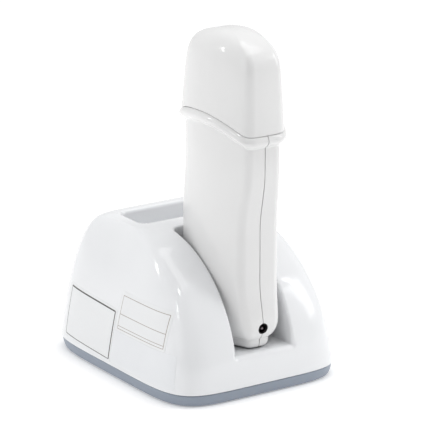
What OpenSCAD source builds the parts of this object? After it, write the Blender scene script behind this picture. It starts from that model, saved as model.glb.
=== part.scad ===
// Roll-on wax heater: a handset that stands in a charging base, with its cap,
// wax cartridge and roller. Millimetres, +Z up, origin under the middle of the base.
// -Y is the open end of the slot, X = 0 is the plane of symmetry and of the handset's seam.

/* [Base] */
// Width of the base across the slot
base_w = 111; // [104:0.5:118]
// Length of the base along the slot
base_l = 138.6; // [132:0.2:146]
// Height of the top of the base
base_h = 80; // [76:0.5:84]
// Height of the grey tray under the white cover
tray_h = 7.2; // [6:0.1:9]
// Wall of the base cover
cover_wall = 2.2; // [1.8:0.1:2.6]

/* [Slot and well] */
// Width of the slot for the handset
slot_w = 36.6; // [36.4:0.1:38]
// Height of the slot's floor
slot_floor = 24; // [23:0.5:24]
// Back wall of the slot
slot_back = -3; // [-3:0.1:-2]
// Length of the well for small tools, along X
well_w = 55; // [48:1:58]
// Front wall of the well
well_front = 10.5; // [9:0.5:12]
// Back wall of the well
well_back = 35; // [32:0.5:36]
// Depth of the well
well_depth = 30; // [20:1:34]

/* [Handset] */
// Thickness of the handset at its middle
grip_t = 35.4; // [34.6:0.1:35.4]
// Middle of the handset along Y
grip_y = -35.8; // [-36:0.1:-35.6]
// Depth of the handset along Y
grip_l = 61.8; // [61:0.1:62.2]
// Depth of the finger waist on the front end
waist = 4.4; // [3:0.1:4.4]
// Wall of the handset's half-shells
grip_wall = 1.6; // [1.4:0.1:1.6]
// Highest point of the parting line between handset and cap
rim_high = 152.8; // [150:0.2:154]
// How far the parting line drops at the front end
rim_drop_front = 9; // [8:0.2:11]
// How far the parting line drops at the back end
rim_drop_back = 6.2; // [4:0.2:7]
// How far the collar bead stands out
bead_out = 3.5; // [3:0.1:3.8]

/* [Cap] */
// Height of the cap's top
cap_top = 195.6; // [194:0.2:198]
// Height where the cap starts to round off
cap_shoulder = 172; // [168:0.5:176]
// How far the cap's rim stands out from the grip
cap_out = 2.3; // [2:0.1:2.5]
// Wall of the cap
cap_wall = 1.5; // [1.3:0.1:1.6]

/* [Cartridge] */
// Thickness of the wax cartridge
cart_t = 29.6; // [28:0.1:29.6]
// Depth of the wax cartridge along Y
cart_l = 49.2; // [46:0.1:49.2]
// Bottom of the cartridge
cart_floor = 54; // [54:0.5:56]
// Radius of the roller
roller_r = 8.6; // [8:0.1:8.8]
// Length of the roller
roller_l = 39.4; // [36:0.1:39.6]

/* [Hidden] */

$fn = 48;
// A cutter reaches this far past what it cuts
over = 1;
// Fixed parts of one body stand this far apart
gap = 0.1;

// ---- shapes that repeat -------------------------------------------------

// Smooth step from 0 to 1 as x goes from 0 to 1
function ease(x) = let (t = min(max(x, 0), 1)) t * t * (3 - 2 * t);
function power(x, n) = sign(x) * pow(abs(x), n);

// Triangles between ring j and ring k, which have n points each; open rings don't close up
function band(j, k, n, open = false) = [
    for (i = [0 : n - (open ? 2 : 1)])
        let (a = j * n + i, b = j * n + (i + 1) % n, c = k * n + i, d = k * n + (i + 1) % n)
            each [[a, b, d], [a, d, c]]
];

// Solid skinned over a stack of closed rings, with a flat lid on the first and the last
module skin(rings) {
    n = len(rings[0]);
    last = len(rings) - 1;
    polyhedron(
        points = [for (ring = rings) each ring],
        faces = concat(
            [[for (i = [n - 1 : -1 : 0]) i]],
            [for (j = [0 : last - 1]) each band(j, j + 1, n)],
            [[for (i = [0 : n - 1]) last * n + i]]
        )
    );
}

// Wall between two stacks of open rings, outside and inside, closed by strips all round
module wall_skin(outside, inside) {
    n = len(outside[0]);
    k = len(outside);
    m = 2 * k;
    rings = concat(outside, [for (j = [k - 1 : -1 : 0]) inside[j]]);
    polyhedron(
        points = [for (ring = rings) each ring],
        faces = concat(
            [for (j = [0 : m - 1]) each band(j, (j + 1) % m, n, true)],
            [for (j = [0 : k - 2])
                let (a = j * n, b = a + n, c = (m - 1 - j) * n, d = c - n)
                    each [[a, b, d], [a, d, c], [a + n - 1, d + n - 1, b + n - 1], [a + n - 1, c + n - 1, d + n - 1]]]
        )
    );
}

// Upright block with round corners, from a low corner to a high corner
module round_block(low, high, r) {
    size = high - low;
    translate(low) {
        translate([r, 0, 0]) cube([size.x - 2 * r, size.y, size.z]);
        translate([0, r, 0]) cube([size.x, size.y - 2 * r, size.z]);
        for (x = [r, size.x - r], y = [r, size.y - r])
            translate([x, y, 0]) cylinder(r = r, h = size.z);
    }
}

module mirror_copy(axis) {
    children();
    mirror(axis) children();
}

// Eight-sided wire through a list of points; every ring lies across the bisector of its bend
module wire(points, r) {
    n = len(points);
    runs = [for (i = [0 : n - 2]) (points[i + 1] - points[i]) / norm(points[i + 1] - points[i])];
    aims = [for (i = [0 : n - 1])
        let (d = runs[max(i - 1, 0)] + runs[min(i, n - 2)]) d / norm(d)];
    // side stays square to the wire's own plane, so that no ring twists
    side = [1, 0, 0];
    skin([for (i = [n - 1 : -1 : 0])
        let (u = cross(aims[i], side), v = u / norm(u), w = cross(v, aims[i]))
            [for (k = [0 : 7]) points[i] + r * (cos(45 * k) * w + sin(45 * k) * v)]]);
}

// ---- dome of the base ---------------------------------------------------

dome_points = 64;
dome_levels = 15;

// Half-size that shrinks from foot at the bottom to crown at the top
function shrink(t, crown, foot, n, m) = crown + (foot - crown) * pow(1 - pow(t, n), 1 / m);
// The three sides of the dome curve in at their own rates
function dome_side(t) = shrink(t, 34, base_w / 2, 1.15, 1.9);
function dome_front(t) = shrink(t, -2, base_l / 2, 2.1, 2);
function dome_back(t) = shrink(t, 26, base_l / 2, 1.3, 4.3);
// The widest place moves back as the dome rises
function dome_middle(t) = 15 * t * t;

// Outline of the dome at share t of its height, drawn in by inset
function dome_ring(t, z, inset) =
    let (p = 2 / (5.6 + 0.9 * t), mid = dome_middle(t))
    [for (i = [0 : dome_points - 1])
        let (f = 360 * (i + 0.5) / dome_points, s = power(sin(f), p),
             reach = s > 0 ? dome_back(t) - mid : dome_front(t) + mid)
            [(dome_side(t) - inset) * power(cos(f), p), mid + (reach - inset) * s, z]
    ];

// Rings from the top down to the parting line with the tray
function dome_rings(inset, low) = [
    for (j = [0 : dome_levels])
        let (t = cos(90 * j / dome_levels))
            dome_ring(t, low + (base_h - inset - low) * t, inset)
];

module dome_solid() { skin(dome_rings(0, tray_h)); }

module dome_shell() {
    rings = dome_rings(0, tray_h);
    inner = dome_rings(cover_wall, tray_h);
    skin(concat(rings, [for (j = [dome_levels : -1 : 0]) inner[j]]));
}

// Slot for the handset, open to the front, grown by a wall all round
module slot_shape(grow) {
    round_block(
        [-slot_w / 2 - grow, -base_l, slot_floor - grow],
        [slot_w / 2 + grow, slot_back + grow, base_h + 20], 6 + grow);
}

module well_shape(grow) {
    round_block(
        [-well_w / 2 - grow, well_front - grow, base_h - well_depth - grow],
        [well_w / 2 + grow, well_back + grow, base_h + 20], 5 + grow);
}

// ---- base ---------------------------------------------------------------

tray_low = 0.5;
tray_floor = 3;
// Top of the tray's rib inside the cover
rib_top = 9;
post_r = 4;
post_low = 6.4;
screw_places = [for (x = [-1, 1], y = [-1, 1]) [37 * x, 44 * y]];
foot_places = [for (x = [-1, 1], y = [-1, 1]) [30 * x, 54 * y]];
pin_x = 7;
inlet_z = 17;
inlet_face = 68.6;
lamp_y = 30;
lamp_z = 22;
lamp_r = 2.5;
// Height of the ribs that the handset stands on
rib_h = 0.7;

module base_cover() {
    color("white") difference() {
        union() {
            dome_shell();
            intersection() {
                dome_solid();
                union() {
                    slot_shape(cover_wall);
                    well_shape(cover_wall);
                    for (p = screw_places)
                        translate([p.x, p.y, post_low]) cylinder(r = post_r, h = 60);
                }
            }
            // short feet of the screw posts, below the parting line
            for (p = screw_places)
                translate([p.x, p.y, post_low]) cylinder(r = post_r, h = 4);
        }
        difference() {
            slot_shape(0);
            // ribs under the handset's foot
            for (y = [-14, 14]) translate([-7, grip_y + y - 1, slot_floor - 5]) cube([14, 2, 5 + rib_h]);
        }
        well_shape(0);
        for (p = screw_places)
            translate([p.x, p.y, post_low - over]) cylinder(r = 1.35, h = 15);
        for (x = [-pin_x, pin_x])
            translate([x, grip_y, slot_floor - 5]) cylinder(r = 1.9, h = 10);
        translate([0, inlet_face - 20, inlet_z]) inlet_window(40);
        translate([base_w / 2 - 10, lamp_y, lamp_z])
            rotate([0, 90, 0]) cylinder(r = lamp_r + 0.05, h = 20);
    }
}

// Opening in the cover that the inlet's nose fills
module inlet_window(depth, r = 5.5) {
    translate([-7, 0, -r]) cube([14, depth, 2 * r]);
    for (x = [-7, 7]) translate([x, 0, 0]) rotate([-90, 0, 0]) cylinder(r = r, h = depth);
}

module base_tray() {
    n = dome_points;
    // outline of the tray, drawn in more and more towards the table
    steps = [[6.9, 0.5], [5.2, 0.6], [3, 1.05], [1.1, 1.6], [tray_low, 2.3]];
    color("slategray") difference() {
        union() {
            skin([for (s = steps) dome_ring(0, s[0], s[1])]);
            // rib that finds the inside of the cover
            skin([dome_ring(0, rib_top, cover_wall + 0.5), dome_ring(0, 6, cover_wall + 0.5)]);
        }
        skin([dome_ring(0, 12, cover_wall + 1.9), dome_ring(0, tray_floor, 5)]);
        tray_cuts(tray_low - over, tray_floor + over);
    }
    color("slategray") {
        for (p = screw_places) difference() {
            translate([p.x, p.y, tray_floor - 0.5]) cylinder(r = 5, h = post_low - tray_floor + 0.4);
            translate([p.x, p.y, tray_low]) cylinder(r = 1.7, h = 10);
            translate([p.x, p.y, 0]) cylinder(r = 3.4, h = 3.6);
        }
        for (p = board_posts)
            translate([p.x, p.y, tray_floor - 0.5]) difference() {
                cylinder(r = 2.6, h = board_z - tray_floor + 0.4);
                translate([0, 0, 1]) cylinder(r = 1.05, h = 12);
            }
    }
}

// Holes under the screws and shallow seats for the feet
module tray_cuts(low, high) {
    for (p = screw_places) translate([p.x, p.y, low]) cylinder(r = 3.4, h = high - low);
    for (p = foot_places) translate([p.x, p.y, low]) cylinder(r = 6.2, h = 1.8 - low);
}

module rubber_feet() {
    color("dimgray") for (p = foot_places)
        translate([p.x, p.y, 0]) {
            cylinder(r1 = 5.5, r2 = 6, h = 0.6);
            translate([0, 0, 0.6]) cylinder(r = 6, h = 1.15);
        }
}

// Pan-head screw, its head's seat at the origin and its shank up along +Z
module screw(head_r, head_h, shank_r, length) {
    difference() {
        translate([0, 0, -head_h]) cylinder(r = head_r, h = head_h);
        for (a = [0, 90]) rotate(a)
            translate([-head_r * 0.6, -0.35, -head_h - over]) cube([head_r * 1.2, 0.7, over + head_h / 2]);
    }
    cylinder(r = shank_r, h = length);
}

module base_screws() {
    color("silver") for (p = screw_places)
        translate([p.x, p.y, 3.5]) screw(3, 1.9, 1.3, 14);
}

block_low = 9;
block_top = slot_floor - cover_wall;
spring_low = 11.5;
flange_low = block_top - 1.3;

// Holder for the two contact pins, hung under the slot's floor
module contact_block() {
    color("ivory") difference() {
        translate([-13, grip_y - 8, block_low]) cube([26, 16, block_top - block_low - gap]);
        for (x = [-pin_x, pin_x]) translate([x, grip_y, 0]) {
            translate([0, 0, spring_low]) cylinder(r = 2.9, h = 20);
            cylinder(r = 1.25, h = 20);
        }
    }
}

// Contact pin, with the flange that its spring pushes up against the slot's floor
module contact_pin() {
    color("gold") translate([0, grip_y, 0]) {
        translate([0, 0, plate_low - 1.4]) cylinder(r1 = 1.6, r2 = 1, h = 1.1);
        translate([0, 0, flange_low]) cylinder(r = 1.6, h = plate_low - 1.4 - flange_low);
        translate([0, 0, flange_low]) cylinder(r = 2.6, h = 1.2);
        translate([0, 0, spring_low - 1.1]) cylinder(r = 1.2, h = flange_low - spring_low + 1.1);
    }
}

module contact_pin_left() { translate([-pin_x, 0, 0]) contact_pin(); }
module contact_pin_right() { translate([pin_x, 0, 0]) contact_pin(); }

// The spring's outer form, from the floor of its pocket to the pin's flange
module contact_spring() {
    long = flange_low - spring_low;
    color("silver") translate([0, grip_y, spring_low]) difference() {
        cylinder(r = 2.4, h = long);
        translate([0, 0, -over]) cylinder(r = 1.5, h = long + 2 * over);
    }
}

module contact_spring_left() { translate([-pin_x, 0, 0]) contact_spring(); }
module contact_spring_right() { translate([pin_x, 0, 0]) contact_spring(); }

board_z = 9;
board_t = 1.6;
board_low = [-30, 4];
board_high = [31, 43];
board_posts = [for (x = [-26, 26], y = [8, 40]) [x, y]];

// Circuit board of the base with its fuse, capacitor, lamp and terminals
module base_board() {
    top = board_z + board_t;
    color("seagreen") difference() {
        translate([board_low.x, board_low.y, board_z])
            cube([board_high.x - board_low.x, board_high.y - board_low.y, board_t]);
        for (p = board_posts) translate([p.x, p.y, board_z - over]) cylinder(r = 1.3, h = 4);
    }
    color("khaki") translate([-18, 14, top + 2.4]) rotate([0, 90, 0]) cylinder(r = 2.4, h = 18);
    color("sienna") translate([10, 12, top]) cube([12, 6, 10]);
    color("black") translate([-16, 26, top]) cube([14, 9, 7]);
    color("gray") for (x = [-10, 4]) translate([x - 3, 4.5, top]) cube([6, 6, 7]);
    color("gray") translate([2, 34, top]) cube([14, 7, 7]);
    color("white") translate([27, lamp_y, top]) cylinder(r = 2.5, h = 6);
    color("white") translate([27, lamp_y, top + 6]) sphere(r = 2.5);
}

module board_screws() {
    color("silver") for (p = board_posts)
        translate([p.x, p.y, board_z + board_t]) rotate([180, 0, 0]) screw(2, 1.2, 1, 5);
}

// Leads from the inlet to the board, and from the board to the contact block
module base_leads() {
    color("brown") for (x = [-1, 1]) {
        wire([[4.3 * x, 52, inlet_z], [4.3 * x, 48, inlet_z], [9 + 3 * x, 43, 14.2],
              [9 + 3 * x, 41.1, 14.2]], 0.9);
        wire([[7 * x - 3, 4.4, 14], [7 * x - 3, -4, 14], [7 * x, -14, 13], [7 * x, -27.7, 13]], 0.9);
    }
}

// Two-pin mains inlet
module power_inlet() {
    color("black") translate([0, 0, inlet_z]) difference() {
        union() {
            translate([0, 52, 0]) inlet_window(inlet_face - 52, 5.5 - gap);
            translate([-16, 52, -7.5]) cube([32, 13, 15]);
        }
        for (x = [-3.2, 3.2]) translate([x, 56, 0]) rotate([-90, 0, 0]) cylinder(r = 4.2, h = 20);
        translate([-3.2, 56, -3]) cube([6.4, 20, 6]);
        for (x = [-4.3, 4.3]) translate([x, 50, 0]) rotate([-90, 0, 0]) cylinder(r = 1.2, h = 10);
    }
}

module inlet_pins() {
    color("silver") for (x = [-4.3, 4.3])
        translate([x, 52.1, inlet_z]) rotate([-90, 0, 0]) {
            cylinder(r = 1.15, h = 12.9);
            translate([0, 0, 12.9]) sphere(r = 1.15);
        }
}

// Lens of the power light in the right side of the cover
module indicator_lens() {
    color("orange") translate([0, lamp_y, lamp_z]) rotate([0, 90, 0]) {
        translate([0, 0, 49]) cylinder(r = lamp_r, h = 5.2);
        translate([0, 0, 54.2]) scale([1, 1, 0.4]) sphere(r = lamp_r);
        translate([0, 0, 47.6]) cylinder(r = lamp_r + 0.8, h = 1.6);
    }
}

// ---- handset ------------------------------------------------------------

// Half-width of the flat part of the handset's ends, and the radius of its corners
end_flat = 6.3;
corner_r = 6;
end_bow = 0.2;
foot_z = 24.8;
tuck_z = 41;
tuck_h = 12.5;
tuck_in = 8;
mouth_up = 5;
seam = 0.06;

side_steps = 4;
corner_steps = 4;
end_steps = 2;

// Points of an arc, without its last one
function arc(c, r, from, to, steps) = [
    for (i = [0 : steps - 1]) let (f = from + (to - from) * i / steps) c + r * [cos(f), sin(f)]
];

// Quarter of a section: bowed side, round corner, nearly flat end, each tangent to the next.
// a and b are the half-sizes, flat is the corner's centre along X and r its radius.
function quarter(a, b, flat, r) =
    let (yc = b - r - end_bow, d = flat - a, e = yc - b,
         side_r = (r * r - yc * yc - d * d) / (2 * (d + r)),
         end_r = (r * r - flat * flat - e * e) / (2 * (e + r)),
         turn = atan2(yc, flat - a + side_r), top = atan2(yc - b + end_r, flat))
    concat(
        arc([a - side_r, 0], side_r, 0, turn, side_steps),
        arc([flat, yc], r, turn, top, corner_steps),
        arc([0, b - end_r], end_r, top, 90, end_steps),
        [[0, b]]
    );

// Left half of a section, from its front point round to its back point
function half_section(a, front, back, flat, r) =
    let (f = quarter(a, front, flat, r), b = quarter(a, back, flat, r), m = len(f) - 1)
    concat(
        [for (i = [m : -1 : 0]) [-f[i].x, -f[i].y]],
        [for (i = [1 : m]) [-b[i].x, b[i].y]]
    );

// Share of the finger waist at height z
function waist_at(z) = ease((123 - z) / 32) * ease((z - 31) / 31);

// Left half of the handset's outline at height z, moved outwards by out.
// An outline that is drawn in keeps most of its corners' radius.
function grip_half(z, out) =
    let (w = waist_at(z), in = min(out, 0))
    half_section(
        grip_t / 2 + out, grip_l / 2 - waist * w + out, grip_l / 2 + out,
        end_flat + 1.6 * w + 0.6 * in, corner_r + max(out, 0) + 0.4 * in);

// Height of the parting line between handset and cap, at y measured from the handset's middle
function rim_z(y) =
    let (s = min(max(y / (grip_l / 2), -1), 1))
    rim_high - (s < 0 ? rim_drop_front * pow(-s, 2.1) : rim_drop_back * s * s);

// Half ring of the handset at height z. Near the collar the ring follows the parting line:
// follow is the share of the line's drop that the ring takes.
function grip_ring(z, out, follow) =
    [for (p = grip_half(z, out)) [p.x, grip_y + p.y, z - follow * (rim_high - rim_z(p.y))]];

// How far the body tucks in above the foot
function tuck(z) = z >= tuck_z ? 0 : tuck_in * (1 - sqrt(1 - pow((tuck_z - z) / tuck_h, 2)));

// Outside of the wall from the foot up to the mouth. Each station is height, outward
// offset and share of the parting line's drop.
bead = [[-8.4, 0], [-6.7, 0.35], [-5.8, 1.5], [-4.4, bead_out - 0.6], [-2.9, bead_out],
        [-1.8, bead_out - 0.1], [-0.8, bead_out - 0.6], [0, 1.95]];
step_out = -4.6;
foot_top = 29.4;
wall_path = concat(
    [[foot_z, step_out - 1.9, 0], [foot_z + 0.6, step_out - 0.8, 0], [foot_z + 1.6, step_out - 0.2, 0],
     [foot_z + 3, step_out, 0], [foot_top, step_out, 0], [foot_top + 0.5, -tuck(foot_top + 0.5), 0]],
    [for (z = [31, 32.6, 34.6, 37, tuck_z, 52, 62, 76, 90, 99, 107, 115, 123]) [z, -tuck(z), 0]],
    [[132, 0, 0.3]],
    [for (b = bead) [rim_high + b[0], b[1], 1]],
    [[rim_high, 0, 1], [rim_high + mouth_up - 0.5, 0, 1], [rim_high + mouth_up, -0.5, 1]]
);

// Inside of the wall at height z
function wall_inside(z) = z < foot_top + 1 ? step_out - 2.2 : -grip_wall - tuck(z);

module half_shell() {
    translate([-seam, 0, 0]) wall_skin(
        [for (s = wall_path) grip_ring(s[0], s[1], s[2])],
        [for (s = wall_path) grip_ring(s[0], wall_inside(s[0]), s[2])]
    );
}

jack_z = 36.4;
jack_r = 3;
screw_spots = [[grip_y - 12, 44], [grip_y + 12, 44]];
boss_end = 15.7;
window_y = 6;
window_low = 72;
window_high = 128;

// Upright slot with round ends through the right side of the handset
module window_cut(grow, from, to) {
    translate([from, grip_y, 0]) {
        translate([0, -window_y - grow, window_low]) cube([to - from, 2 * (window_y + grow), window_high - window_low]);
        for (z = [window_low, window_high])
            translate([0, 0, z]) rotate([0, 90, 0]) cylinder(r = window_y + grow, h = to - from);
    }
}

module handset_left() {
    color("whitesmoke") difference() {
        union() {
            half_shell();
            for (s = screw_spots) translate([-boss_end, s[0], s[1]]) rotate([0, 90, 0])
                cylinder(r = 3, h = boss_end - seam);
        }
        for (s = screw_spots) translate([-9, s[0], s[1]]) rotate([0, 90, 0]) cylinder(r = 1.05, h = 20);
        jack_hole();
    }
}

module handset_right() {
    color("whitesmoke") difference() {
        union() {
            mirror([1, 0, 0]) half_shell();
            for (s = screw_spots) translate([seam, s[0], s[1]]) rotate([0, 90, 0])
                cylinder(r = 3.4, h = boss_end - seam);
        }
        for (s = screw_spots) translate([0, s[0], s[1]]) rotate([0, 90, 0]) {
            translate([0, 0, -over]) cylinder(r = 1.3, h = 30);
            translate([0, 0, 8]) cylinder(r = 2.4, h = 30);
        }
        jack_hole();
        window_cut(0, 10, 25);
    }
}

module jack_hole() {
    translate([0, grip_y - 40, jack_z]) rotate([-90, 0, 0]) cylinder(r = jack_r + 0.05, h = 18);
}

// Clear window that shows how much wax is left
module window_lens() {
    color("lightyellow") intersection() {
        mirror([1, 0, 0]) half_shell();
        window_cut(-gap, 10, 25);
    }
}

module handset_screws() {
    color("silver") for (s = screw_spots)
        translate([8, s[0], s[1]]) rotate([0, -90, 0]) screw(2.2, 1.4, 1, 14);
}

plate_low = 25.8;
plate_high = 28;

// Plate that closes the foot and carries the contact pads
module contact_plate() {
    inner = step_out - 2.35;
    color("dimgray") difference() {
        skin([full_ring(plate_high, inner), full_ring(plate_low, inner)]);
        for (x = [-pin_x, pin_x])
            translate([x, grip_y, plate_low - over]) cylinder(r = 3.3, h = 6);
    }
}

// Whole outline of the handset at height z
function full_ring(z, out) =
    let (h = grip_ring(z, out, 0), n = len(h))
    concat([for (i = [n - 1 : -1 : 0]) h[i]], [for (i = [1 : n - 2]) [-h[i].x, h[i].y, z]]);

module contact_pads() {
    color("gold") for (x = [-pin_x, pin_x])
        translate([x, grip_y, 25.6]) {
            cylinder(r = 3.2, h = 1.4);
            translate([0, 0, 1.4]) cylinder(r = 1, h = 4);
        }
}

// Barrel jack in the seam at the front of the foot
module power_jack() {
    color("black") translate([0, 0, jack_z]) difference() {
        union() {
            translate([0, grip_y - 29.6, 0]) rotate([-90, 0, 0]) cylinder(r = jack_r, h = 5);
            translate([-4.2, grip_y - 25, -4.4]) cube([8.4, 9, 8.8]);
        }
        translate([0, grip_y - 31, 0]) rotate([-90, 0, 0]) cylinder(r = 2.55, h = 11);
        translate([0, grip_y - 31, 0]) rotate([-90, 0, 0]) cylinder(r = 1, h = 18);
    }
}

module jack_pin() {
    color("silver") translate([0, grip_y - 28.4, jack_z]) rotate([-90, 0, 0]) {
        sphere(r = 0.95);
        cylinder(r = 0.95, h = 12);
    }
}

// Small board behind the jack, standing on the contact plate
module handset_board() {
    color("seagreen") translate([-8, grip_y - 15.9, 31.2]) cube([16, 1.6, 8.8]);
    color("seagreen") translate([-8, grip_y - 14, 31.2]) cube([16, 31, 1.6]);
    color("black") translate([-4, grip_y - 6, 32.8]) cube([8, 10, 4]);
    color("sienna") translate([-5, grip_y + 8, 32.8]) cube([10, 8, 5]);
}

sleeve_y = grip_y + 1.1;
sleeve_t = 31.6;
sleeve_l = 51.2;
sleeve_wall = 0.6;
sleeve_floor = 52;
sleeve_top = 148;

// Whole section round its own middle
function whole_section(a, b, flat, r, mid, z) =
    let (h = half_section(a, b, b, flat, r), n = len(h))
    concat(
        [for (i = [n - 1 : -1 : 0]) [h[i].x, mid + h[i].y, z]],
        [for (i = [1 : n - 2]) [-h[i].x, mid + h[i].y, z]]
    );

function sleeve_ring(z, out) =
    whole_section(sleeve_t / 2 + out, sleeve_l / 2 + out, 6.6, 5 + out, sleeve_y, z);
function cart_ring(z, out) =
    whole_section(cart_t / 2 + out, cart_l / 2 + out, 6.6 + min(0, 2.4 + out), max(4 + out, 1.6), sleeve_y, z);

// Aluminium sleeve that warms the cartridge
module heating_sleeve() {
    color("silver") difference() {
        skin([sleeve_ring(sleeve_top, 0), sleeve_ring(sleeve_floor, 0)]);
        skin([sleeve_ring(sleeve_top + over, -sleeve_wall), sleeve_ring(sleeve_floor + 0.8, -sleeve_wall)]);
        window_cut(-1, 5, 25);
    }
}

// Plastic seat that carries the sleeve above the boards
module cartridge_seat() {
    color("ivory") difference() {
        skin([sleeve_ring(sleeve_floor - gap, -0.3), sleeve_ring(49.6, -0.3)]);
        translate([-8, sleeve_y - 14, 45]) cube([16, 28, 20]);
    }
}

heater_back = sleeve_y + sleeve_l / 2;

// Heating plate on the back end of the sleeve, and the sheet that insulates it
module heater_plate() {
    color("tan") translate([-6, heater_back + 0.05, 64]) cube([12, 1.5, 60]);
}

module insulator_sheet() {
    color("khaki") translate([-6.5, heater_back + 1.6, 60]) cube([13, 0.3, 68]);
}

// Thermostat button under the sleeve
module thermostat() {
    color("black") translate([0, sleeve_y, 0]) {
        translate([0, 0, 46]) cylinder(r = 6, h = 5.9);
        for (x = [-4, 4]) translate([x - 1, -0.4, 42]) cube([2, 0.8, 4]);
    }
}

// Leads from the board up to the thermostat and the heating plate
module handset_leads() {
    color("red") {
        wire([[-4, sleeve_y - 1.3, 43], [-4, sleeve_y - 4, 41], [-4, sleeve_y - 4, 36.9]], 0.7);
        wire([[3, grip_y + 16.7, 33.5], [3, grip_y + 22, 39], [3, grip_y + 27.5, 47],
              [3, grip_y + 27.5, 57], [3, heater_back + 0.8, 63.9]], 0.6);
    }
}

// ---- cap ----------------------------------------------------------------

// The cap draws in by this much per millimetre of height, and leans forward a little
cap_taper = 0.1;
cap_lean = 0.04;
rim_gap = 0.5;
cap_levels = 12;

// Outline of the cap where u runs from 0 at the rim to 1 at the shoulder, to 2 at the top
function cap_ring(u, inset) =
    let (t = sin(90 * max(u - 1, 0)),
         low = rim_high + rim_gap,
         z = low + (cap_shoulder - low) * min(u, 1) + (cap_top - inset - cap_shoulder) * t,
         out = cap_out - cap_taper * (z - low) - inset,
         side = pow(1 - pow(t, 3.3), 1 / 3.6),
         end = pow(1 - pow(t, 3.5), 1 / 1.9))
    [for (p = whole_section(grip_t / 2 + out, grip_l / 2 + out, end_flat, corner_r + out, 0, 0))
        [p.x * side, grip_y - cap_lean * (z - low) + p.y * end, z - (1 - ease(u)) * (rim_high - rim_z(p.y))]
    ];

module cap() {
    steps = concat([for (j = [0 : 5]) j / 6], [for (j = [0 : cap_levels - 1]) 1 + j / cap_levels]);
    n = len(steps) - 1;
    color("whitesmoke") skin(concat(
        [for (j = [n : -1 : 0]) cap_ring(steps[j], 0)],
        [for (j = [0 : n]) cap_ring(steps[j], cap_wall)]
    ));
}

// ---- cartridge ----------------------------------------------------------

bottle_top = 150;
head_top = 171;
roller_z = 168;
axle_r = 1.5;
play = 0.05;

module cartridge_bottle() {
    w = 1.2;
    color("navajowhite") skin([
        cart_ring(cart_floor + w, -w - 1),
        cart_ring(cart_floor + w + 1, -w),
        cart_ring(bottle_top, -w),
        cart_ring(bottle_top, 0),
        cart_ring(cart_floor + 1.4, 0),
        cart_ring(cart_floor + 0.4, -0.5),
        cart_ring(cart_floor, -1.6)
    ]);
}

// Head that plugs the bottle and carries the roller
module roller_head() {
    color("white") difference() {
        union() {
            skin([cart_ring(bottle_top + gap, -1.35), cart_ring(bottle_top - 7, -1.35)]);
            skin([
                cart_ring(head_top, -4.3), cart_ring(head_top - 2, -3.8), cart_ring(head_top - 8, -2.2),
                cart_ring(head_top - 13, -0.4), cart_ring(head_top - 15, 0), cart_ring(bottle_top + gap, 0)
            ]);
        }
        translate([0, sleeve_y - roller_l / 2 - 0.3, roller_z])
            rotate([-90, 0, 0]) cylinder(r = roller_r + 0.4, h = roller_l + 0.6);
        translate([-5, sleeve_y - 14, bottle_top - 10]) cube([10, 28, 20]);
        translate([0, sleeve_y - 30, roller_z]) rotate([-90, 0, 0]) cylinder(r = axle_r + play, h = 60);
    }
}

module roller() {
    color("lightsteelblue") translate([0, sleeve_y, roller_z]) rotate([90, 0, 0]) difference() {
        cylinder(r = roller_r, h = roller_l, center = true);
        cylinder(r = axle_r + play, h = roller_l + 2 * over, center = true);
    }
}

module roller_axle() {
    color("silver") translate([0, sleeve_y, roller_z]) rotate([90, 0, 0])
        cylinder(r = axle_r, h = roller_l + 2.4, center = true);
}

// ---- assembly -----------------------------------------------------------

base_cover();
base_tray();
rubber_feet();
base_screws();
contact_block();
contact_pin_left();
contact_pin_right();
contact_spring_left();
contact_spring_right();
base_board();
board_screws();
base_leads();
power_inlet();
inlet_pins();
indicator_lens();
handset_left();
handset_right();
window_lens();
handset_screws();
contact_plate();
contact_pads();
power_jack();
jack_pin();
handset_board();
cartridge_seat();
heating_sleeve();
heater_plate();
insulator_sheet();
thermostat();
handset_leads();
cap();
cartridge_bottle();
roller_head();
roller();
roller_axle();
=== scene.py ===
"""Looks of the roll-on wax heater: a handset with its cap, standing in its charging base.
Shapes are worked out in millimetres in the frame of the model, and stored in metres."""

import contextlib
import math

import bmesh
import bpy
import numpy as np
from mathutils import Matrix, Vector


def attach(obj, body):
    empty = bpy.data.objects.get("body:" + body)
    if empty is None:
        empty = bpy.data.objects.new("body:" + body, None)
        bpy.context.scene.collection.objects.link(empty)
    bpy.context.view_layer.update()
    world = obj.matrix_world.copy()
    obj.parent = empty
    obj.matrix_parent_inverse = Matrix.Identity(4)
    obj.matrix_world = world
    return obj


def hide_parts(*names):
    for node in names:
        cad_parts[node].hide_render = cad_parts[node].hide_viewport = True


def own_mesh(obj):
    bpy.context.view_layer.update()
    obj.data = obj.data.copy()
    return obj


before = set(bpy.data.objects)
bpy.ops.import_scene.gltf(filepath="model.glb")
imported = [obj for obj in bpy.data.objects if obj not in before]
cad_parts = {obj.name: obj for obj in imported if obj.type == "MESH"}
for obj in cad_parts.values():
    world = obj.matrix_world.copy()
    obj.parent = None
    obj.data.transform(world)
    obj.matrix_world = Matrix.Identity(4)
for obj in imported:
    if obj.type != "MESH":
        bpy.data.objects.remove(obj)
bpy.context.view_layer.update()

MM = 0.001

# ---- sizes of the model, in millimetres ---------------------------------

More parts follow.
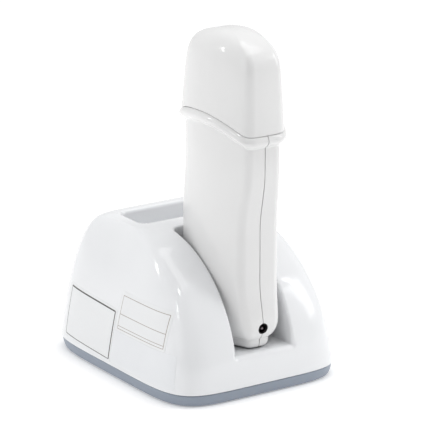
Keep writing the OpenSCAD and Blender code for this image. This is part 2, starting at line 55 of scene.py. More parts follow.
# base: the dome from its foot to its crown, slot, well, contacts, inlet, lamp, screws and feet
BASE_H, TRAY_H, COVER_WALL = 80.0, 7.2, 2.2
BASE_SIDE, BASE_END = 55.5, 69.3
CROWN_SIDE, CROWN_FRONT, CROWN_BACK, CROWN_SHIFT = 34.0, -2.0, 26.0, 15.0
BASE_POWER, CROWN_POWER = 5.6, 6.5
SLOT_HALF, SLOT_FLOOR, SLOT_BACK, SLOT_CORNER = 18.3, 24.0, -3.0, 6.0
WELL_HALF, WELL_FRONT, WELL_BACK, WELL_FLOOR, WELL_CORNER = 27.5, 10.5, 35.0, 50.0, 5.0
SLOT_FILLET, WELL_FILLET, WELL_LIP = 0.8, 1.5, 1.6
PIN_X, RIB_H, RIB_Y = 7.0, 0.7, 14.0
INLET_X, INLET_Z, INLET_R = 7.0, 17.0, 5.5
LAMP_Y, LAMP_Z, LAMP_R = 30.0, 22.0, 2.5
BASE_SCREWS = [(x, y) for x in (-37, 37) for y in (-44, 44)]
FOOT_PLACES = [(x, y) for x in (-30, 30) for y in (-54, 54)]
SPRING_LOW, FLANGE_LOW = 11.5, 20.5

# handset: section, foot, parting line, collar bead, jack, window and screws
GRIP_HALF_T, GRIP_HALF_L, GRIP_Y = 17.7, 30.9, -35.8
END_FLAT, CORNER_R, END_BOW = 6.3, 6.0, 0.2
WAIST, WAIST_LOW, WAIST_HIGH, GRIP_WALL = 4.4, 31.0, 123.0, 1.6
FOOT_Z, FOOT_TOP, STEP_OUT = 24.8, 29.4, -4.6
TUCK_Z, TUCK_H, TUCK_IN = 41.0, 12.5, 8.0
RIM_HIGH, RIM_DROP_FRONT, RIM_DROP_BACK = 152.8, 9.0, 6.2
BEAD_OUT, MOUTH_UP = 3.5, 5.0
JACK_Z, JACK_R, JACK_FACE = 36.4, 3.0, GRIP_Y - 29.6
WINDOW_Y, WINDOW_LOW, WINDOW_HIGH = 6.0, 72.0, 128.0
GRIP_SCREWS = [(GRIP_Y - 12, 44.0), (GRIP_Y + 12, 44.0)]

# cap
CAP_TOP, CAP_SHOULDER, CAP_OUT, CAP_WALL = 195.6, 172.0, 2.3, 1.5
CAP_TAPER, CAP_LEAN, RIM_GAP = 0.1, 0.04, 0.22

# cartridge and its roller
CART_Y, CART_HALF_T, CART_HALF_L, CART_FLOOR = -34.7, 14.8, 24.6, 54.0
BOTTLE_TOP, HEAD_TOP = 150.0, 171.0
ROLLER_Z, ROLLER_R, ROLLER_L, AXLE_R = 168.0, 8.6, 39.4, 1.5

# ---- meshes -------------------------------------------------------------


def ease(x):
    """Smooth step from 0 to 1"""
    x = np.clip(x, 0.0, 1.0)
    return x * x * (3 - 2 * x)


def stand(name, data):
    """A new object in the scene"""
    made = bpy.data.objects.new(name, data)
    bpy.context.scene.collection.objects.link(made)
    return made


@contextlib.contextmanager
def reworked(mesh):
    """The mesh as faces that can be edited, written back at the end"""
    work = bmesh.new()
    work.from_mesh(mesh)
    yield work
    work.to_mesh(mesh)
    work.free()


def make_mesh(name, points, faces):
    """An object from points in millimetres; doubled points are joined and empty faces dropped"""
    mesh = bpy.data.meshes.new(name)
    mesh.from_pydata((np.asarray(points, float) * MM).tolist(), [], [list(f) for f in faces])
    with reworked(mesh) as work:
        bmesh.ops.remove_doubles(work, verts=work.verts, dist=1e-6)
        bmesh.ops.dissolve_degenerate(work, edges=work.edges, dist=1e-7)
        bmesh.ops.recalc_face_normals(work, faces=work.faces)
    return stand(name, mesh)


def shade(made, angle=35):
    """Smooth shading that stays crisp where two faces meet at more than this angle"""
    limit = math.radians(angle)
    with reworked(made.data) as work:
        for face in work.faces:
            face.smooth = True
        for edge in work.edges:
            edge.smooth = not (len(edge.link_faces) == 2 and edge.calc_face_angle() > limit)
    return made


def join_points(a, b, n):
    """Quads between two closed runs of n points that start at a and b"""
    return [(a + i, a + (i + 1) % n, b + (i + 1) % n, b + i) for i in range(n)]


def loft(name, rings, lids=True):
    """Skin over closed rings with the same number of points each"""
    n = len(rings[0])
    faces = [f for j in range(len(rings) - 1) for f in join_points(j * n, j * n + n, n)]
    if lids:
        faces += [list(range(n)), list(range((len(rings) - 1) * n, len(rings) * n))]
    return make_mesh(name, np.vstack(rings), faces)


def lathe(name, profile, place=(0, 0, 0), axis="Z", steps=64):
    """Solid of revolution from (radius, height) pairs, its axis through place"""
    turn = 2 * np.pi * np.arange(steps) / steps
    rings = [np.c_[r * np.cos(turn), r * np.sin(turn), np.full(steps, h)] for r, h in profile]
    if axis == "Y":
        rings = [ring[:, [0, 2, 1]] for ring in rings]
    if axis == "X":
        rings = [ring[:, [2, 0, 1]] for ring in rings]
    return loft(name, [ring + np.array(place, float) for ring in rings])


def block(name, low, high):
    """A plain box between two corners"""
    (a, b, c), (d, e, f) = low, high
    points = [(x, y, z) for x in (a, d) for y in (b, e) for z in (c, f)]
    faces = [(0, 1, 3, 2), (4, 6, 7, 5), (0, 4, 5, 1), (2, 3, 7, 6), (0, 2, 6, 4), (1, 5, 7, 3)]
    return make_mesh(name, points, faces)


def merge(name, parts):
    """One object from several that don't touch"""
    work = bmesh.new()
    for part in parts:
        work.from_mesh(part.data)
        bpy.data.objects.remove(part)
    mesh = bpy.data.meshes.new(name)
    work.to_mesh(mesh)
    work.free()
    return stand(name, mesh)


def carve(made, tools, operation="DIFFERENCE"):
    """Cuts the tools out of a solid, or keeps what they share, and removes them"""
    for tool in tools:
        change = made.modifiers.new("cut", "BOOLEAN")
        change.operation, change.solver, change.object = operation, "EXACT", tool
        bpy.context.view_layer.update()
        solid = made.evaluated_get(bpy.context.evaluated_depsgraph_get())
        mesh = bpy.data.meshes.new_from_object(solid)
        made.modifiers.clear()
        made.data = mesh
        bpy.data.objects.remove(tool)
    return made


def rounded_steps(r, steps):
    """Quarter of a round: pairs of offset along and offset in, from (0, r) to (r, 0)"""
    turn = np.linspace(0, np.pi / 2, steps)
    return [(r * (1 - math.cos(a)), r * (1 - math.sin(a))) for a in turn]


# ---- shell of the base cover --------------------------------------------


def shrink(t, crown, foot, n, m):
    """A reach that goes from its value at the foot to that at the crown as t goes from 0 to 1"""
    return crown + (foot - crown) * (1 - t ** n) ** (1 / m)


def dome_sizes(z):
    """Half-width, reach to the front, reach to the back, middle and power of the dome's outline"""
    t = np.clip((z - TRAY_H) / (BASE_H - TRAY_H), 0, 1)
    middle = CROWN_SHIFT * t * t
    side = shrink(t, CROWN_SIDE, BASE_SIDE, 1.15, 1.9)
    front = shrink(t, CROWN_FRONT, BASE_END, 2.1, 2) + middle
    back = shrink(t, CROWN_BACK, BASE_END, 1.3, 4.3) - middle
    return side, front, back, middle, BASE_POWER + (CROWN_POWER - BASE_POWER) * t


def dome_ring(z, height, inset, steps=256):
    """The dome's outline at height z, drawn in by inset and set down at another height"""
    side, front, back, middle, q = dome_sizes(z)
    turn = 2 * np.pi * (np.arange(steps) + 0.5) / steps
    x = np.sign(np.cos(turn)) * np.abs(np.cos(turn)) ** (2 / q)
    y = np.sign(np.sin(turn)) * np.abs(np.sin(turn)) ** (2 / q)
    reach = np.where(y > 0, back, front) - inset
    return np.c_[(side - inset) * x, middle + reach * y, np.full(steps, height)]


def slope_of(field, p, reach=0.02):
    """Slope of a distance field at points p"""
    return np.stack([(field(p + reach * d) - field(p - reach * d)) / (2 * reach) for d in np.eye(3)], -1)


def dome_level(p):
    """Below 0 inside the dome's outline, above 0 outside"""
    side, front, back, middle, q = dome_sizes(p[..., 2])
    x, y = np.abs(p[..., 0]), p[..., 1] - middle
    return ((x / side) ** q + (np.abs(y) / np.where(y > 0, back, front)) ** q) ** (1 / q) - 1


def outside_of_dome(p):
    """Signed distance to the dome, cut off flat at its top"""
    steep = np.linalg.norm(slope_of(dome_level, p), axis=-1)
    return np.maximum(dome_level(p) / np.maximum(steep, 1e-4), p[..., 2] - BASE_H)


def meet(a, b, r):
    """The greater of two distances, with a round of radius r where they meet"""
    return np.minimum(-r, np.maximum(a, b)) + np.hypot(np.maximum(r + a, 0), np.maximum(r + b, 0))


def outside_of_pocket(p, x_half, y_low, y_high, floor, corner, fillet):
    """Distance to an upright pocket with round corners and a round all along its floor"""
    x = np.abs(p[..., 0]) - x_half + corner
    y = np.abs(p[..., 1] - (y_low + y_high) / 2) - (y_high - y_low) / 2 + corner
    wall = np.hypot(np.maximum(x, 0), np.maximum(y, 0)) + np.minimum(np.maximum(x, y), 0) - corner
    return meet(wall, floor - p[..., 2], fillet)


def cover_form(p):
    """Signed distance to the outside of the cover, with its slot and its well"""
    slot = outside_of_pocket(p, SLOT_HALF, -140, SLOT_BACK, SLOT_FLOOR, SLOT_CORNER, SLOT_FILLET)
    well = outside_of_pocket(p, WELL_HALF, WELL_FRONT, WELL_BACK, WELL_FLOOR, WELL_CORNER, WELL_FILLET)
    # the slot's lip is rounder down at its floor
    slot_lip = 1.3 + 1.2 * ease((30 - p[..., 2]) / 6)
    return meet(meet(outside_of_dome(p), -slot, slot_lip), -well, WELL_LIP)


def cover_shell(p):
    """Signed distance to the cover's wall, which follows the outside at an even depth"""
    form = cover_form(p)
    return np.maximum(form, -(form + COVER_WALL))


def surface_net(field, low, high, step):
    """Points and quads on the zero level of a distance field"""
    axes = [np.arange(a, b, step) for a, b in zip(low, high)]
    grid = np.stack(np.meshgrid(*axes, indexing="ij"), -1)
    value = np.stack([field(layer) for layer in grid])
    size = np.array(value.shape) - 1
    corners = [(i, j, k) for i in (0, 1) for j in (0, 1) for k in (0, 1)]

    def at(array, c):
        return array[c[0]:c[0] + size[0], c[1]:c[1] + size[1], c[2]:c[2] + size[2]]

    inside = value < 0
    count = sum(at(inside, c).astype(int) for c in corners)
    mixed = (count > 0) & (count < 8)
    index = np.full(mixed.shape, -1)
    index[mixed] = np.arange(mixed.sum())
    total = np.zeros((mixed.sum(), 3))
    hits = np.zeros((mixed.sum(), 1))
    for c in corners:
        for axis in range(3):
            if c[axis]:
                continue
            d = tuple(1 if k == axis else c[k] for k in range(3))
            a, b = at(value, c)[mixed], at(value, d)[mixed]
            cross = (a < 0) != (b < 0)
            share = np.where(cross, a / np.where(cross, a - b, 1), 0)[:, None]
            total += np.where(cross[:, None], np.array(c) + share * (np.array(d) - np.array(c)), 0)
            hits += cross[:, None]
    cell = np.argwhere(mixed)
    points = np.array(low) + step * (cell + total / hits)
    faces = []
    for axis in range(3):
        u, v = [k for k in range(3) if k != axis]
        a = inside[tuple(slice(0, -1) if k == axis else slice(1, -1) for k in range(3))]
        b = inside[tuple(slice(1, None) if k == axis else slice(1, -1) for k in range(3))]
        spot = np.argwhere(a != b)
        spot[:, u] += 1
        spot[:, v] += 1
        near = []
        for du, dv in ((0, 0), (1, 0), (1, 1), (0, 1)):
            q = spot.copy()
            q[:, u] -= du
            q[:, v] -= dv
            near.append(index[q[:, 0], q[:, 1], q[:, 2]])
        quads = np.stack(near, 1)
        faces.append(quads[(quads >= 0).all(1)])
    return points, np.vstack(faces)


def settle(points, field, rounds=4, reach=0.6):
    """Moves points onto the zero level of a field"""
    for _ in range(rounds):
        slope = slope_of(field, points)
        length = np.linalg.norm(slope, axis=1, keepdims=True)
        move = field(points)[:, None] * slope / np.maximum(length, 1e-3) ** 2
        far = np.maximum(np.linalg.norm(move, axis=1, keepdims=True), 1e-9)
        points = points - move * np.minimum(1, reach / far)
    return points


def follow_field(made, field, limit=0.75):
    """Shading normals from the field's slope; faces cut across it keep their own"""
    mesh = made.data
    count = len(mesh.vertices)
    points = np.zeros(count * 3)
    mesh.vertices.foreach_get("co", points)
    slope = slope_of(field, points.reshape(-1, 3) / MM)
    slope /= np.maximum(np.linalg.norm(slope, axis=1, keepdims=True), 1e-9)
    corner = np.zeros(len(mesh.loops), int)
    mesh.loops.foreach_get("vertex_index", corner)
    sizes = np.zeros(len(mesh.polygons), int)
    mesh.polygons.foreach_get("loop_total", sizes)
    flat = np.zeros(len(mesh.polygons) * 3)
    mesh.polygons.foreach_get("normal", flat)
    face = np.repeat(flat.reshape(-1, 3), sizes, axis=0)
    smooth = slope[corner]
    agree = (smooth * face).sum(1) > limit
    for polygon in mesh.polygons:
        polygon.use_smooth = True
    mesh.normals_split_custom_set(np.where(agree[:, None], smooth, face).tolist())
    return made


def inlet_hole():
    """Long hole with half-round sides for the mains inlet"""
    turn = np.linspace(-np.pi / 2, np.pi / 2, 25)
    right = np.c_[INLET_X + INLET_R * np.cos(turn), INLET_R * np.sin(turn)]
    outline = np.vstack([right, -right])
    x, z = outline[:, 0], INLET_Z + outline[:, 1]
    return loft("hole", [np.c_[x, np.full(len(x), y), z] for y in (60, 80)])


def cover():
    """White moulding of the base, open below, with holes for the contacts, the lamp and the inlet"""
    low, high, grid_step = (-57.3, -71.3, 4.1), (57.9, 71.9, 82), 1.2
    points, quads = surface_net(cover_shell, low, high, grid_step)
    made = make_mesh("cover", settle(points, cover_shell), quads)
    with reworked(made.data) as work:
        everything = list(work.verts) + list(work.edges) + list(work.faces)
        bmesh.ops.bisect_plane(work, geom=everything, plane_co=(0, 0, TRAY_H * MM), plane_no=(0, 0, 1),
                               clear_inner=True)
        rim = [e for e in work.edges if e.is_boundary]
        bmesh.ops.triangle_fill(work, edges=rim, use_beauty=True, normal=(0, 0, -1))
        bmesh.ops.recalc_face_normals(work, faces=work.faces)
    pin_hole = [(1.9, 18), (1.9, 23.6), (2.4, 24.1), (2.4, 26)]
    lamp_hole = [(LAMP_R + 0.1, 40), (LAMP_R + 0.1, 70)]
    holes = [lathe("hole", pin_hole, (x, GRIP_Y, 0)) for x in (-PIN_X, PIN_X)]
    holes += [lathe("hole", lamp_hole, (0, LAMP_Y, LAMP_Z), "X"), inlet_hole()]
    carve(made, [merge("holes", holes)])
    return follow_field(made, cover_shell)


def slot_ribs():
    """Two low ribs with round tops that the handset stands on"""
    left = [(-1.0, -0.4), (-1.0, RIB_H - 0.35), (-0.9, RIB_H - 0.1), (-0.65, RIB_H)]
    outline = left + [(-a, b) for a, b in reversed(left)]
    parts = []
    for y in (-RIB_Y, RIB_Y):
        ends = [[(x, GRIP_Y + y + a, SLOT_FLOOR + b) for a, b in outline] for x in (-7, 7)]
        parts.append(loft("rib", ends))
    return shade(merge("slot_ribs", parts), 50)


# ---- tray, feet and fittings of the base --------------------------------


def tray():
    """Shallow tray; its wall draws in towards the floor, and leaves a fine recess under the cover"""
    wall = [(7.1, 1.9), (6.72, 1.6), (6.68, 0.75), (6.55, 0.55), (6.3, 0.5), (5.8, 0.53), (5.0, 0.64),
            (4.0, 0.83), (3.0, 1.05), (2.0, 1.33), (1.3, 1.6), (0.9, 1.85), (0.65, 2.15), (0.53, 2.45),
            (0.5, 2.8)]
    screw_hole = [(3.4, 3.6), (3.4, 0.8), (3.7, 0.49), (3.7, 0)]
    foot_pocket = [(6.2, 1.75), (6.2, 0.7), (6.4, 0.49), (6.4, 0)]
    made = loft("tray", [dome_ring(0, z, inset) for z, inset in wall])
    cuts = [lathe("hole", screw_hole, (x, y, 0)) for x, y in BASE_SCREWS]
    cuts += [lathe("hole", foot_pocket, (x, y, 0)) for x, y in FOOT_PLACES]
    return shade(carve(made, [merge("holes", cuts)]), 30)


def rubber_feet():
    """Four round feet with a raised ring to stand on"""
    profile = [(0.01, 1.75), (6.0, 1.75), (6.0, 0.75), (5.85, 0.3), (5.5, 0.0), (3.9, 0.0), (3.7, 0.18),
               (3.3, 0.18), (3.1, 0.0), (0.01, 0.0)]
    return shade(merge("rubber_feet", [lathe("foot", profile, (x, y, 0)) for x, y in FOOT_PLACES]), 40)


def power_lamp():
    """Lens with a low dome, held by a flange inside the cover"""
    flange = [(0.01, 47.6), (3.3, 47.6), (3.3, 49.2), (LAMP_R, 49.2)]
    dome = [(LAMP_R * math.cos(a), 54.2 + LAMP_R * 0.4 * math.sin(a)) for a in np.linspace(0, 1.5, 9)]
    return shade(lathe("power_lamp", flange + dome, (0, LAMP_Y, LAMP_Z), "X", 40), 50)


def contact_spring(name, x):
    """Coil of round wire with closed ends, between the pocket's floor and the pin's flange"""
    wire_r, coil_r, turns, per_turn, sides, closing = 0.3, 2.05, 6.5, 28, 8, 0.054
    steps = int(turns * per_turn)
    climb = FLANGE_LOW - SPRING_LOW - 2 * wire_r
    up = np.array([0, 0, 1])
    rings = []
    for share in np.arange(steps + 1) / steps:
        lift = wire_r + climb * (share - closing * math.sin(4 * math.pi * share))
        turn = 2 * math.pi * turns * share
        out = np.array([math.cos(turn), math.sin(turn), 0])
        middle = np.array([x, GRIP_Y, SPRING_LOW + lift]) + coil_r * out
        rings.append(np.array([middle + wire_r * (math.cos(a) * out + math.sin(a) * up)
                               for a in 2 * np.pi * np.arange(sides) / sides]))
    return shade(loft(name, rings), 60)


# ---- handset ------------------------------------------------------------


def arc(centre, radius, start, stop, steps):
    """Points of an arc, without its last one"""
    turn = start + (stop - start) * np.arange(steps) / steps
    return np.c_[centre[0] + radius * np.cos(turn), centre[1] + radius * np.sin(turn)]


def quarter(a, b, flat, r):
    """Bowed side, round corner and nearly flat end, each tangent to the next"""
    yc, d = b - r - END_BOW, flat - a
    e = yc - b
    side_r = (r * r - yc * yc - d * d) / (2 * (d + r))
    end_r = (r * r - flat * flat - e * e) / (2 * (e + r))
    turn, top = math.atan2(yc, flat - a + side_r), math.atan2(yc - b + end_r, flat)
    return np.vstack([arc((a - side_r, 0), side_r, 0, turn, 20), arc((flat, yc), r, turn, top, 16),
                      arc((0, b - end_r), end_r, top, np.pi / 2, 8), [(0, b)]])


def half_section(a, front, back, flat, r):
    """Left half of a section, from its front point round to its back point"""
    f, b = quarter(a, front, flat, r), quarter(a, back, flat, r)
    return np.vstack([-f[::-1], (b * (-1, 1))[1:]])


def whole_section(a, b, flat, r, middle=0.0, z=0.0):
    """The same section all the way round, as a level ring"""
    half = half_section(a, b, b, flat, r)
    ring = np.vstack([half[::-1], (half * (-1, 1))[1:-1]])
    return np.c_[ring[:, 0], middle + ring[:, 1], np.full(len(ring), z)]


def rim_z(y):
    """Height of the parting line; it levels off gently where it turns into the ends"""
    soft = 0.03
    s = -soft * np.log(np.exp(-np.abs(y) / GRIP_HALF_L / soft) + math.exp(-1 / soft))
    s = np.maximum(s, 0)
    return RIM_HIGH - np.where(y < 0, RIM_DROP_FRONT * s ** 2.1, RIM_DROP_BACK * s * s)


def grip_ring(z, out, follow):
    """Left half ring of the handset, drawn in at the waist. Near the collar it takes a share of the
    parting line's drop."""
    w = float(ease((WAIST_HIGH - z) / 32) * ease((z - WAIST_LOW) / 31))
    drawn = min(out, 0)
    half = half_section(GRIP_HALF_T + out, GRIP_HALF_L - WAIST * w + out, GRIP_HALF_L + out,
                        END_FLAT + 1.6 * w + 0.6 * drawn, CORNER_R + max(out, 0) + 0.4 * drawn)
    return np.c_[half[:, 0], GRIP_Y + half[:, 1], z - follow * (RIM_HIGH - rim_z(half[:, 1]))]


def tuck(z):
    """How far the wall draws in near the foot"""
    return 0.0 if z >= TUCK_Z else TUCK_IN * (1 - math.sqrt(1 - ((TUCK_Z - z) / TUCK_H) ** 2))


def curve_through(stops, steps):
    """Points on a smooth curve through the stops"""
    p = np.array([stops[0]] + list(stops) + [stops[-1]], float)
    found = []
    for i in range(1, len(p) - 2):
        for s in np.arange(steps) / steps:
            found.append(0.5 * (2 * p[i] + (p[i + 1] - p[i - 1]) * s
                                + (2 * p[i - 1] - 5 * p[i] + 4 * p[i + 1] - p[i + 2]) * s ** 2
                                + (3 * p[i] - p[i - 1] - 3 * p[i + 1] + p[i + 2]) * s ** 3))
    return np.array(found + [p[-1]])


def wall_stations():
    """Height, outward offset and share of the parting line's drop, from the foot up to the mouth"""
    foot = [(FOOT_Z + 3 * (1 - math.cos(a)), STEP_OUT - 1.9 * (1 - math.sin(a)), 0)
            for a in np.linspace(0, np.pi / 2, 8)]
    foot += [(FOOT_TOP - 0.1, STEP_OUT, 0), (FOOT_TOP + 0.15, STEP_OUT + 0.04, 0)]
    tucked = (FOOT_TOP + 0.5, 30.2, 30.6, 31.1, 31.7, 32.4, 33.2, 34.2, 35.4, 36.8, 38.6, 41, 44, 48)
    body = [(z, -tuck(z), 0) for z in tucked] + [(z, 0, 0) for z in range(52, 124, 4)]
    body += [(z, 0, 1 - (144.4 - z) / 21.4) for z in range(127, 143, 5)]
    collar = curve_through([(-8.4, 0), (-7.5, 0.12), (-6.7, 0.5), (-5.7, 1.6),
                            (-4.4, BEAD_OUT - 0.7), (-2.9, BEAD_OUT), (-1.8, BEAD_OUT - 0.1),
                            (-0.8, BEAD_OUT - 0.6), (-0.25, 2.4)], 4)
    bead = [(RIM_HIGH + z, out, 1) for z, out in collar] + [(RIM_HIGH - 0.06, 2.05, 1), (RIM_HIGH, 1.75, 1)]
    mouth = [(RIM_HIGH, 0.15, 1), (RIM_HIGH + 0.15, 0, 1), (RIM_HIGH + MOUTH_UP - 0.6, 0, 1)]
    mouth += [(RIM_HIGH + MOUTH_UP - b, -a, 1) for b, a in reversed(rounded_steps(0.5, 5))]
    return foot + body + bead + mouth


def half_shell(name):
    """Left half of the handset's wall, its seam edges rounded so that a fine groove shows"""
    lip, sunk, gap, foot_wall = 0.26, 0.3, 0.06, 2.2
    edge = [(-lip * 0.45, 0.07), (-gap, sunk)]
    rings = []
    for z, out, follow in wall_stations():
        outer = grip_ring(z, out, follow)
        inside = STEP_OUT - foot_wall if z < FOOT_TOP + 1 else -GRIP_WALL - tuck(z)
        inner = grip_ring(z, inside, follow)
        inner[[0, -1], 0] = -gap
        front, back = outer[0], outer[-1]
        outer[[0, -1], 0] = -lip
        rings.append(np.vstack([outer, [back + (x, -d, 0) for x, d in edge],
                                inner[::-1], [front + (x, d, 0) for x, d in reversed(edge)]]))
    n, half = len(rings[0]), (len(rings[0]) - 4) // 2
    faces = [f for j in range(len(rings) - 1) for f in join_points(j * n, j * n + n, n)]
    for start in (0, (len(rings) - 1) * n):
        inner = start + half + 2
        for i in range(half - 1):
            faces.append([start + i, start + i + 1, inner + half - 2 - i, inner + half - 1 - i])
        faces.append([start + half - 1, start + half, start + half + 1, inner])
        faces.append([start, inner + half - 1, inner + half, inner + half + 1])
    return make_mesh(name, np.vstack(rings), faces)


def flip_side(made):
    """The same piece on the other side of the seam"""
    for vertex in made.data.vertices:
        vertex.co.x = -vertex.co.x
    made.data.flip_normals()
    return made


def window_tool(name, grow, lip=0.0):
    """Upright slot with half-round ends; with a lip its outer end flares"""
    turn = np.linspace(0, np.pi, 25)
    rings = []
    for x, wide in ((10, grow), (17.2, grow), (17.9, grow + lip), (25, grow + lip)):
        r = WINDOW_Y + wide
        top = np.c_[GRIP_Y + r * np.cos(turn), WINDOW_HIGH + r * np.sin(turn)]
        low = np.c_[GRIP_Y - r * np.cos(turn), WINDOW_LOW - r * np.sin(turn)]
        outline = np.vstack([top, low])
        rings.append(np.c_[np.full(len(outline), x), outline])
    return loft(name, rings)


def jack_hole():
    """Hole of the jack through the front end of the handset"""
    profile = [(JACK_R + 0.12, GRIP_Y - 40), (JACK_R + 0.05, GRIP_Y - 26.4), (JACK_R + 0.05, GRIP_Y - 22)]
    return lathe("hole", profile, (0, 0, JACK_Z), "Y")


def handset_halves():
    """Both halves of the handset's wall, and the clear pane that fills the window of the right one"""
    screw_hole = [(2.4, 8), (2.4, 17.1), (2.8, 17.9), (2.8, 30)]
    holes = [lathe("hole", screw_hole, (0, y, z), "X") for y, z in GRIP_SCREWS]
    left = carve(half_shell("handset_left_shell"), [jack_hole()])
    right = flip_side(half_shell("handset_right_shell"))
    carve(right, [jack_hole(), window_tool("hole", 0.0, 0.4)] + holes)
    pane = carve(flip_side(half_shell("window_pane")), [window_tool("slot", -0.12)], "INTERSECT")
    return shade(left, 32), shade(right, 32), shade(pane, 32)


def screw_wells():
    """Tubes inside the right half that the screws' heads sit in"""
    wall = [(2.42, 8.2), (3.3, 8.2), (3.3, 15.6), (2.42, 15.6), (2.42, 8.2)]
    tubes = [lathe("tube", wall, (0, y, z), "X") for y, z in GRIP_SCREWS]
    return shade(merge("screw_wells", tubes), 40)


def in_jack(name, profile, steps, angle):
    """Turned piece of the jack; its profile is (radius, depth behind the jack's face)"""
    turned = [(r, JACK_FACE + depth) for r, depth in profile]
    return shade(lathe(name, turned, (0, 0, JACK_Z), "Y", steps), angle)


def jack_barrel():
    """Black cup of the jack, with a rounded lip"""
    profile = [(0.01, 9), (2.5, 9), (2.5, 0.35), (2.65, 0.05), (2.85, 0.05), (JACK_R, 0.3),
               (JACK_R, 10), (0.01, 10)]
    return in_jack("jack_barrel", profile, 48, 40)


def jack_sleeve():
    """Bright lining of the jack"""
    profile = [(2.32, 8.9), (2.32, 0.8), (2.42, 0.6), (2.5, 0.8), (2.5, 8.9), (2.32, 8.9)]
    return in_jack("jack_sleeve", profile, 48, 40)


def jack_pin():
    """Centre pin with a round tip"""
    tip = [(0.95 * math.sin(a), 0.4 + 0.95 * (1 - math.cos(a))) for a in np.linspace(0.01, np.pi / 2, 8)]
    return in_jack("jack_pin_round", tip + [(0.95, 13.6), (0.01, 13.6)], 32, 50)


# ---- cap and cartridge --------------------------------------------------


def cap_ring(u, inset, rise=0.0):
    """Outline of the cap: u runs from 0 at the rim to 1 at the shoulder, to 2 at the top"""
    t = math.sin(math.pi / 2 * max(u - 1, 0))
    low = RIM_HIGH + RIM_GAP
    z = low + (CAP_SHOULDER - low) * min(u, 1) + (CAP_TOP - inset - CAP_SHOULDER) * t + rise
    out = CAP_OUT - CAP_TAPER * (z - low) - inset
    side, end = (1 - t ** 3.3) ** (1 / 3.6), (1 - t ** 3.5) ** (1 / 1.9)
    ring = whole_section(GRIP_HALF_T + out, GRIP_HALF_L + out, END_FLAT, CORNER_R + out)
    y = ring[:, 1].copy()
    ring[:, 0] *= side
    ring[:, 1] = GRIP_Y - CAP_LEAN * (z - low) + y * end
    ring[:, 2] = z - (1 - float(ease(u))) * (RIM_HIGH - rim_z(y))
    return ring


def cap():
    # rings up to the shoulder, then over the top
    wall = list(np.linspace(0, 1, 20)[1:]) + list(1 + np.linspace(0, 1, 44)[1:-1] ** 0.85) + [1.992]
    outer = [cap_ring(u, 0) for u in wall]
    inner = [cap_ring(u, CAP_WALL) for u in wall]
    edge = [cap_ring(0, CAP_WALL, 0.35), cap_ring(0, CAP_WALL - 0.2, 0.06), cap_ring(0, CAP_WALL - 0.4),
            cap_ring(0, 0.4), cap_ring(0, 0.12, 0.1), cap_ring(0, 0, 0.4)]
    return shade(loft("cap_shell", inner[::-1] + edge + outer), 40)


def cart_ring(z, out):
    """Outline of the cartridge, moved out by out; its corners keep a small round"""
    flat, corner = 6.6 + min(0, 2.4 + out), max(4 + out, 1.6)
    return whole_section(CART_HALF_T + out, CART_HALF_L + out, flat, corner, CART_Y, z)


def bottle():
    """Open bottle of the cartridge, with a fine groove near its top"""
    wall, round_r = 1.2, 1.4
    outer = [(CART_FLOOR + along, -drawn) for along, drawn in rounded_steps(round_r, 8)]
    outer += [(z, 0) for z in range(58, 142, 6)] + [(143.6, 0), (143.9, -0.25), (144.5, -0.25), (144.8, 0)]
    outer += [(BOTTLE_TOP - 0.3, 0), (BOTTLE_TOP, -0.3)]
    inner = [(BOTTLE_TOP, -wall + 0.25), (BOTTLE_TOP - 0.25, -wall), (CART_FLOOR + wall + 1, -wall),
             (CART_FLOOR + wall + 0.3, -wall - 0.3), (CART_FLOOR + wall, -wall - 1)]
    return shade(loft("bottle", [cart_ring(z, out) for z, out in outer + inner]), 35)


def roller_head():
    """Plug in the bottle's mouth that rises to the roller's bed"""
    plug = [(-7, -1.6), (-6.6, -1.35), (0.05, -1.35), (0.1, -0.2), (0.3, 0)]
    slope = curve_through([(156, 0), (158, -0.4), (163, -2.2), (169, -3.8), (170.4, -4.3)], 6)
    rings = [(BOTTLE_TOP + z, out) for z, out in plug] + list(slope) + [(170.85, -4.6), (HEAD_TOP, -5.0)]
    made = loft("roller_frame", [cart_ring(z, out) for z, out in rings])
    half, bed_r, axis = ROLLER_L / 2 + 0.3, ROLLER_R + 0.4, (0, 0, ROLLER_Z)
    bed = [(0.01, CART_Y - half), (bed_r, CART_Y - half), (bed_r, CART_Y + half), (0.01, CART_Y + half)]
    bore = [(AXLE_R + 0.05, CART_Y - 30), (AXLE_R + 0.05, CART_Y + 30)]
    carve(made, [lathe("bed", bed, axis, "Y", 96),
                 block("feed", (-5, CART_Y - 14, 140), (5, CART_Y + 14, 160)),
                 lathe("bore", bore, axis, "Y")])
    return shade(made, 30)


def roller():
    """Roller with rounded ends and a fine groove near each"""
    half, edge, groove, bore = ROLLER_L / 2, 1.0, 2.6, AXLE_R + 0.05
    end = [(ROLLER_R - drawn, half - along) for along, drawn in rounded_steps(edge, 7)]
    ring = [(ROLLER_R, half - groove), (ROLLER_R - 0.22, half - groove - 0.2),
            (ROLLER_R - 0.22, half - groove - 0.6), (ROLLER_R, half - groove - 0.8)]
    right = [(bore, half - 0.6), (3.2, half - 0.6), (3.4, half - 0.05)] + end + ring
    profile = [(r, CART_Y - h) for r, h in right] + [(r, CART_Y + h) for r, h in reversed(right)]
    profile.append((bore, CART_Y - half + 0.6))
    return shade(lathe("roller_drum", profile, (0, 0, ROLLER_Z), "Y", 96), 35)


# ---- blank stickers -----------------------------------------------------


def on_left_face(y, z):
    """Where the cover's left face lies in x"""
    side, front, back, middle, q = dome_sizes(z)
    reach = np.where(y > middle, back, front)
    return -side * (1 - (np.abs(y - middle) / reach) ** q) ** (1 / q)


